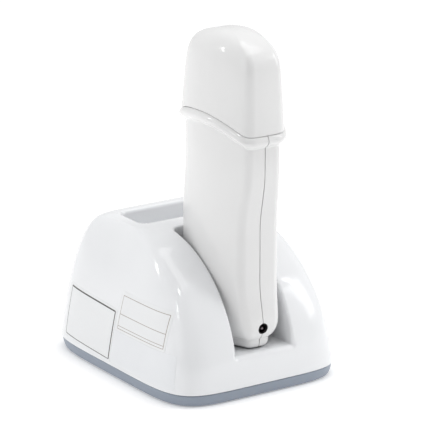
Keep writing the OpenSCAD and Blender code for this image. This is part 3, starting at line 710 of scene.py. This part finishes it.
def sticker(name, corners, thick, corner_r):
    """Thin sheet on the left face. Corners are (y, z) pairs: top left, top right, low left, low right.
    Its UV map runs from 0 to 1 over the sheet."""
    tl, tr, bl, br = (np.array(c, float) for c in corners)
    wide, high = np.linalg.norm(tr - tl), np.linalg.norm(bl - tl)
    across, down = 60, 30
    points, spots = [], []
    for lift in (thick, 0.02):
        for j in range(down + 1):
            for i in range(across + 1):
                s, t = i / across, j / down
                ds, dt = corner_r - min(s, 1 - s) * wide, corner_r - min(t, 1 - t) * high
                if ds > 0 and dt > 0:
                    # corners are drawn in along a quarter circle
                    draw = 1 - max(ds, dt) / math.hypot(ds, dt)
                    s += (1 - 2 * s) * draw * ds / wide
                    t += (1 - 2 * t) * draw * dt / high
                y, z = (tl * (1 - s) + tr * s) * (1 - t) + (bl * (1 - s) + br * s) * t
                points.append((float(on_left_face(y, z)), y, z))
                spots.append((s, t, lift))
    points = np.array(points)
    normal = slope_of(dome_level, points)
    normal /= np.linalg.norm(normal, axis=1, keepdims=True)
    points += normal * np.array(spots)[:, 2:]
    row, sheet = across + 1, (across + 1) * (down + 1)
    faces = []
    for j in range(down):
        for i in range(across):
            a = j * row + i
            faces.append((a, a + 1, a + row + 1, a + row))
            faces.append((sheet + a, sheet + a + row, sheet + a + row + 1, sheet + a + 1))
    edge = list(range(row)) + [j * row + across for j in range(1, down + 1)]
    edge += [down * row + i for i in range(across - 1, -1, -1)] + [j * row for j in range(down - 1, 0, -1)]
    for a, b in zip(edge, edge[1:] + edge[:1]):
        faces.append((a, a + sheet, b + sheet, b))
    mesh = bpy.data.meshes.new(name)
    mesh.from_pydata((points * MM).tolist(), [], faces)
    layer = mesh.uv_layers.new(name="UVMap")
    for loop in mesh.loops:
        s, t, _ = spots[loop.vertex_index]
        layer.data[loop.index].uv = (s, 1 - t)
    with reworked(mesh) as work:
        bmesh.ops.recalc_face_normals(work, faces=work.faces)
    return shade(stand(name, mesh), 50)


# ---- materials ----------------------------------------------------------


class Flow:
    """One output of a node in a material. Arithmetic on it adds Math nodes."""

    def __init__(self, tree, socket=None):
        self.tree, self.socket = tree, socket

    def node(self, kind, settings=None, inputs=None, out=0):
        """A node of this kind: its settings first, then the values or links of its sockets"""
        made = self.tree.nodes.new("ShaderNode" + kind)
        for name, value in (settings or {}).items():
            setattr(made, name, value)
        for name, value in (inputs or {}).items():
            if isinstance(value, Flow):
                self.tree.links.new(value.socket, made.inputs[name])
            else:
                made.inputs[name].default_value = value
        return Flow(self.tree, made.outputs[out] if made.outputs else None)

    def maths(self, operation, *others):
        """A Math node with this value on its first socket"""
        return self.node("Math", {"operation": operation}, dict(enumerate((self, *others))))

    def __add__(self, other):
        return self.maths("ADD", other)

    def __mul__(self, other):
        return self.maths("MULTIPLY", other)

    def __sub__(self, other):
        return self.maths("SUBTRACT", other)

    def __rsub__(self, other):
        return self.node("Math", {"operation": "SUBTRACT"}, {0: other, 1: self})

    __radd__, __rmul__ = __add__, __mul__

    def part(self, axis):
        """One coordinate of a vector"""
        return self.node("SeparateXYZ", None, {0: self}, "XYZ".index(axis))

    def noise(self, scale, detail=2.0, stretch=(1, 1, 1)):
        """Noise over the place that this vector gives"""
        at = self.node("Mapping", None, {"Vector": self, "Scale": stretch})
        return self.node("TexNoise", None, {"Vector": at, "Scale": scale, "Detail": detail})

    def between(self, low, high, to_low=0.0, to_high=1.0):
        """This value spread from one range to another, and held at its ends"""
        return self.node("MapRange", None, {"Value": self, "From Min": low, "From Max": high,
                                            "To Min": to_low, "To Max": to_high})

    def mix(self, a, b):
        """Colour a where this is 0, colour b where it is 1"""
        a, b = (c if isinstance(c, Flow) else (*c, 1) for c in (a, b))
        return self.node("Mix", {"data_type": "RGBA"}, {0: self, 6: a, 7: b}, 2)

    def bump(self, strength, distance, normal=None):
        """Normals that follow this value as a height; distance is in metres"""
        inputs = {"Strength": strength, "Distance": distance, "Height": self}
        if normal is not None:
            inputs["Normal"] = normal
        return self.node("Bump", None, inputs)


def empty_tree(owner):
    """A start for the nodes of a material or a world, with the ones it came with removed"""
    owner.use_nodes = True
    owner.node_tree.nodes.clear()
    return Flow(owner.node_tree)


def finish_of(name, colour, roughness, normal, **constants):
    """A material with a Principled shader. Colour, roughness and normal vary with the place on the
    piece; the constants are set on the shader's own sockets."""
    made = bpy.data.materials.new(name)
    start = empty_tree(made)
    place = start.node("TexCoord", out=3)
    inputs = {"Base Color": colour(place), "Roughness": roughness(place), "Normal": normal(place)}
    inputs.update((key.replace("_", " "), value) for key, value in constants.items())
    start.node("OutputMaterial", None, {"Surface": start.node("BsdfPrincipled", None, inputs)})
    return made


def moulded(name, colour, shine, grain=0.0, grain_scale=2500.0, drift=0.015, **constants):
    """Moulded plastic: a faint drift of tone, faint flow in the gloss, and the mould's fine grain"""
    lighter = tuple(min(1, c * (1 + drift)) for c in colour)
    darker = tuple(c * (1 - drift) for c in colour)

    def tone(place):
        return place.noise(18).between(0.35, 0.65).mix(darker, lighter)

    def gloss(place):
        return place.noise(60, 3, (1, 1, 0.35)).between(0.3, 0.7, shine - 0.02, shine + 0.02)

    def skin(place):
        wave = place.noise(140, 1).bump(0.06, 0.0004)
        return place.noise(grain_scale).bump(grain, 0.00012, wave) if grain else wave

    return finish_of(name, tone, gloss, skin, **constants)


def turned_metal(name, colour, shine, lines=(1, 1, 30), scale=90.0):
    """Metal with the fine lines of its making"""
    def tone(place):
        return place.noise(scale, 3, lines).between(0.3, 0.7).mix(tuple(c * 0.9 for c in colour), colour)

    def gloss(place):
        return place.noise(scale * 2, 3, lines).between(0.3, 0.7, shine - 0.06, shine + 0.08)

    def skin(place):
        return place.noise(scale * 3, 2, lines).bump(0.1, 0.0001)

    return finish_of(name, tone, gloss, skin, Metallic=1.0)


def printed_paper(name, rules, ink, paper, wide, high):
    """Sticker paper with thin printed rules and nothing else. Each rule is (across, at, from, to,
    half-width), in millimetres from the sheet's lower left corner."""
    soft = 0.08

    def tone(place):
        spot = place.node("TexCoord", out=2)
        x, y = spot.part("X") * wide, spot.part("Y") * high
        mark = None
        for across, at, start, stop, half in rules:
            cross, along = (y, x) if across else (x, y)
            line = (cross - at).maths("ABSOLUTE").between(half + soft, half - soft)
            line = line * along.between(start - 0.1, start + 0.1) * along.between(stop + 0.1, stop - 0.1)
            mark = line if mark is None else mark.maths("MAXIMUM", line)
        fibre = place.noise(900, 3).between(0.3, 0.7).mix(tuple(c * 0.985 for c in paper), paper)
        return mark.mix(fibre, ink)

    def gloss(place):
        return place.noise(300).between(0.3, 0.7, 0.4, 0.5)

    def skin(place):
        return place.noise(700).bump(0.08, 0.00008)

    return finish_of(name, tone, gloss, skin)


def circuit_board(name, top):
    """Green board with copper tracks under its lacquer; what stands above top is a component, and
    the components are black or brown by their place"""
    def tone(place):
        tracks = (place.part("X") * 700 + place.noise(220, 1) * 3).maths("SINE").between(0.55, 0.75)
        board = tracks.mix((0.015, 0.12, 0.05), (0.04, 0.22, 0.10))
        parts = place.noise(30, 0).between(0.48, 0.52).mix((0.03, 0.03, 0.035), (0.30, 0.16, 0.06))
        return place.part("Z").between(top * MM, (top + 0.05) * MM).mix(board, parts)

    def gloss(place):
        return place.noise(400).between(0.3, 0.7, 0.3, 0.45)

    def skin(place):
        return place.noise(900).bump(0.15, 0.0001)

    return finish_of(name, tone, gloss, skin)


def dress(names, made):
    """The same material on CAD nodes that keep their mesh"""
    for name in names:
        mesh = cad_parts[name].data
        mesh.materials.clear()
        mesh.materials.append(made)


def wear(piece, made, body, slot, *nodes):
    """Material, body and the CAD nodes that a new piece stands for; the slot is not used"""
    piece.data.materials.clear()
    piece.data.materials.append(made)
    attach(piece, body)
    if nodes:
        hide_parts(*nodes)
    return piece


# ---- the object ---------------------------------------------------------

WHITE_GLOSS = moulded("cover_white", (0.85, 0.86, 0.876), 0.1)
GRIP_WHITE = moulded("grip_white", (0.79, 0.79, 0.79), 0.12)
TRAY_GREY = moulded("tray_grey", (0.28, 0.32, 0.385), 0.42, grain=0.25)
RUBBER = moulded("foot_rubber", (0.03, 0.03, 0.033), 0.7, grain=0.4, grain_scale=1500)
IVORY = moulded("inner_ivory", (0.72, 0.69, 0.60), 0.5, grain=0.2)
BLACK = moulded("black_plastic", (0.018, 0.018, 0.02), 0.35, grain=0.15)
PLATE_GREY = moulded("plate_grey", (0.10, 0.11, 0.13), 0.45, grain=0.25)
AMBER = moulded("lamp_amber", (0.80, 0.28, 0.03), 0.12, Transmission_Weight=0.5)
CLEAR = moulded("window_clear", (0.86, 0.84, 0.78), 0.08, Transmission_Weight=0.85)
BOTTLE = moulded("bottle_natural", (0.80, 0.71, 0.52), 0.28)
ROLLER_WHITE = moulded("roller_plastic", (0.76, 0.78, 0.79), 0.26)
CERAMIC = moulded("heater_ceramic", (0.62, 0.52, 0.38), 0.6, grain=0.4, grain_scale=1200, drift=0.05)
INSULATOR = moulded("insulator_film", (0.62, 0.36, 0.06), 0.25, drift=0.05)
LEAD_BROWN = moulded("lead_brown", (0.22, 0.08, 0.035), 0.45)
LEAD_RED = moulded("lead_red", (0.50, 0.03, 0.02), 0.45)
STEEL = turned_metal("steel", (0.62, 0.62, 0.64), 0.28)
# steel of the jack's lining and pin, darkened to a reddish grey as painted shade of the jack's deep hole
JACK_STEEL_PAINTED_SHADE = turned_metal("jack_steel_painted_shade", (0.20, 0.17, 0.18), 0.3)
SPRING = turned_metal("spring_steel", (0.56, 0.56, 0.58), 0.24)
GOLD = turned_metal("contact_gold", (0.90, 0.66, 0.28), 0.2)
ALUMINIUM = turned_metal("aluminium", (0.80, 0.80, 0.81), 0.38, lines=(1, 1, 60), scale=70)

wear(cover(), WHITE_GLOSS, "base", "cover_white", "base_cover")
wear(slot_ribs(), WHITE_GLOSS, "base", "cover_white")
wear(tray(), TRAY_GREY, "base", "tray_grey", "base_tray")
wear(rubber_feet(), RUBBER, "base", "foot_rubber", "rubber_feet")
wear(power_lamp(), AMBER, "base", "lamp_amber", "indicator_lens")
for side, x in (("left", -PIN_X), ("right", PIN_X)):
    spring = wear(contact_spring(f"coil_{side}", x), SPRING, "base", "spring_steel", f"contact_spring_{side}")
    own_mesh(spring)

left_shell, right_shell, pane = handset_halves()
wear(left_shell, GRIP_WHITE, "handset", "grip_white", "handset_left")
wear(right_shell, GRIP_WHITE, "handset", "grip_white", "handset_right")
wear(pane, CLEAR, "handset", "window_clear", "window_lens")
wear(screw_wells(), GRIP_WHITE, "handset", "grip_white")
wear(jack_barrel(), BLACK, "handset", "black_plastic", "power_jack")
# the lining and the pin wear the darkened steel: painted shade of the jack's hole
wear(jack_sleeve(), JACK_STEEL_PAINTED_SHADE, "handset", "steel")
wear(jack_pin(), JACK_STEEL_PAINTED_SHADE, "handset", "steel", "jack_pin")

wear(cap(), GRIP_WHITE, "cap", "grip_white", "cap")
wear(bottle(), BOTTLE, "cartridge", "bottle_natural", "cartridge_bottle")
wear(roller_head(), ROLLER_WHITE, "cartridge", "roller_plastic", "roller_head")
wear(roller(), ROLLER_WHITE, "roller", "roller_plastic", "roller")

dress(["base_screws", "board_screws", "inlet_pins", "handset_screws", "roller_axle"], STEEL)
dress(["contact_block", "cartridge_seat"], IVORY)
dress(["contact_pin_left", "contact_pin_right", "contact_pads"], GOLD)
dress(["base_leads"], LEAD_BROWN)
dress(["handset_leads"], LEAD_RED)
dress(["power_inlet", "thermostat"], BLACK)
dress(["contact_plate"], PLATE_GREY)
dress(["heating_sleeve"], ALUMINIUM)
dress(["heater_plate"], CERAMIC)
dress(["insulator_sheet"], INSULATOR)
dress(["base_board"], circuit_board("board_green", 10.6))
dress(["handset_board"], circuit_board("small_board_green", 32.8))

# Blank stickers on the left face: a framed one, one with rules, and a clear film.
# Corners of each sheet are (y, z) pairs: top left, top right, low left, low right.
FRAMED = [(48.9, 40.1), (-0.7, 38.3), (50.3, 10.3), (0.9, 8.7)]
RULED = [(-3.4, 49.2), (-48.4, 49.4), (-1.6, 27.4), (-48.2, 27.9)]
CLEAR_FILM = [(-0.4, 27.2), (-56.4, 27.6), (1.0, 9.2), (-57.4, 9.3)]
FRAME_RULES = [(True, 1.3, 1.3, 48.1, 0.2), (True, 28.2, 1.3, 48.1, 0.4),
               (False, 1.3, 1.3, 28.2, 0.2), (False, 48.1, 1.3, 28.2, 0.4)]
TABLE_RULES = [(True, 19.9, 1.4, 43.3, 0.16), (True, 9.6, 1.4, 43.3, 0.16),
               (True, 3.0, 1.4, 43.3, 0.14), (True, 1.4, 1.4, 43.3, 0.14),
               (False, 1.4, 1.4, 19.9, 0.16), (False, 43.3, 1.4, 19.9, 0.2)]
DARK_INK, BROWN_INK, PAPER = (0.05, 0.045, 0.045), (0.33, 0.27, 0.24), (0.84, 0.85, 0.86)
FRAMED_PAPER = printed_paper("sticker_paper", FRAME_RULES, DARK_INK, PAPER, 49.6, 29.8)
RULED_PAPER = printed_paper("sticker_paper_ruled", TABLE_RULES, BROWN_INK, PAPER, 45, 22)
STICKER_CLEAR = moulded("sticker_clear", (0.82, 0.835, 0.855), 0.3)
wear(sticker("sticker_framed", FRAMED, 0.12, 0.6), FRAMED_PAPER, "base", "cover_white")
wear(sticker("sticker_ruled", RULED, 0.12, 0.8), RULED_PAPER, "base", "cover_white")
wear(sticker("sticker_film", CLEAR_FILM, 0.08, 2.0), STICKER_CLEAR, "base", "cover_white")

# ---- floor, light and camera --------------------------------------------


def floor():
    """Pale paper that reaches to the horizon, just under the feet"""
    turn = 2 * np.pi * np.arange(96) / 96
    rings = [np.c_[r * np.cos(turn), r * np.sin(turn), np.full(96, -0.02)] for r in (1, 300, 4000, 12000)]
    made = loft("floor", rings, lids=False)
    material = bpy.data.materials.new("floor_paper")
    start = empty_tree(material)
    paper = {"Base Color": (0.9, 0.9, 0.9, 1), "Roughness": 0.9,
             "Emission Color": (1, 1, 1, 1), "Emission Strength": 0.22}
    start.node("OutputMaterial", None, {"Surface": start.node("BsdfPrincipled", None, paper)})
    made.data.materials.append(material)


def soft_box(name, place, wide, high, watts):
    """Lamp that is aimed at the middle of the heater"""
    light = bpy.data.lights.new(name, "AREA")
    light.shape, light.size, light.size_y, light.energy = "RECTANGLE", wide, high, watts
    made = stand(name, light)
    made.location = place
    made.rotation_euler = (Vector((0, -0.01, 0.1)) - Vector(place)).to_track_quat("-Z", "Y").to_euler()


def studio():
    """Light tent that is darker towards its open front left, with large and small soft boxes"""
    world = bpy.data.worlds.new("studio")
    bpy.context.scene.world = world
    start = empty_tree(world)
    opening = start.node("VectorMath", {"operation": "DOT_PRODUCT"},
                         {0: start.node("TexCoord"), 1: (-0.56, -0.83, 0)}, 1)
    light = opening.between(0.2, 0.98, 0.83, 0.0) * opening.between(-1.0, -0.3, 0.7, 1.0)
    tent = start.node("Background", None, {"Color": (1, 1, 1, 1), "Strength": light})
    start.node("OutputWorld", None, {"Surface": tent})
    soft_box("top", (0.2, 0.0, 1.5), 1.2, 1.2, 8)
    soft_box("left", (-1.5, -0.2, 0.7), 0.9, 1.0, 1.8)
    soft_box("right", (1.2, -0.8, 0.75), 0.5, 0.8, 4)
    soft_box("left_back", (-1.15, 0.78, 0.8), 0.1, 0.3, 1.3)
    soft_box("left_edge", (-1.3, -0.24, 0.88), 0.06, 0.3, 0.6)
    soft_box("left_high", (-0.67, -0.43, 1.35), 0.12, 0.12, 1.0)
    soft_box("right_strip", (1.0, -0.68, 0.98), 0.1, 0.4, 1.0)


def camera():
    """Long lens from the front left, a little above the cap"""
    focal_px, picture_px = 3200, 425
    lens = bpy.data.cameras.new("view")
    lens.sensor_width, lens.clip_end = 36.0, 50
    lens.lens = focal_px * lens.sensor_width / picture_px
    made = stand("view", lens)
    made.location = np.array([-914.317, -1390.439, 602.443]) * MM
    made.rotation_euler = Vector((0.529065, 0.794801, -0.297292)).to_track_quat("-Z", "Y").to_euler()
    bpy.context.scene.camera = made
    bpy.context.scene.view_settings.view_transform = "Standard"


floor()
studio()
camera()
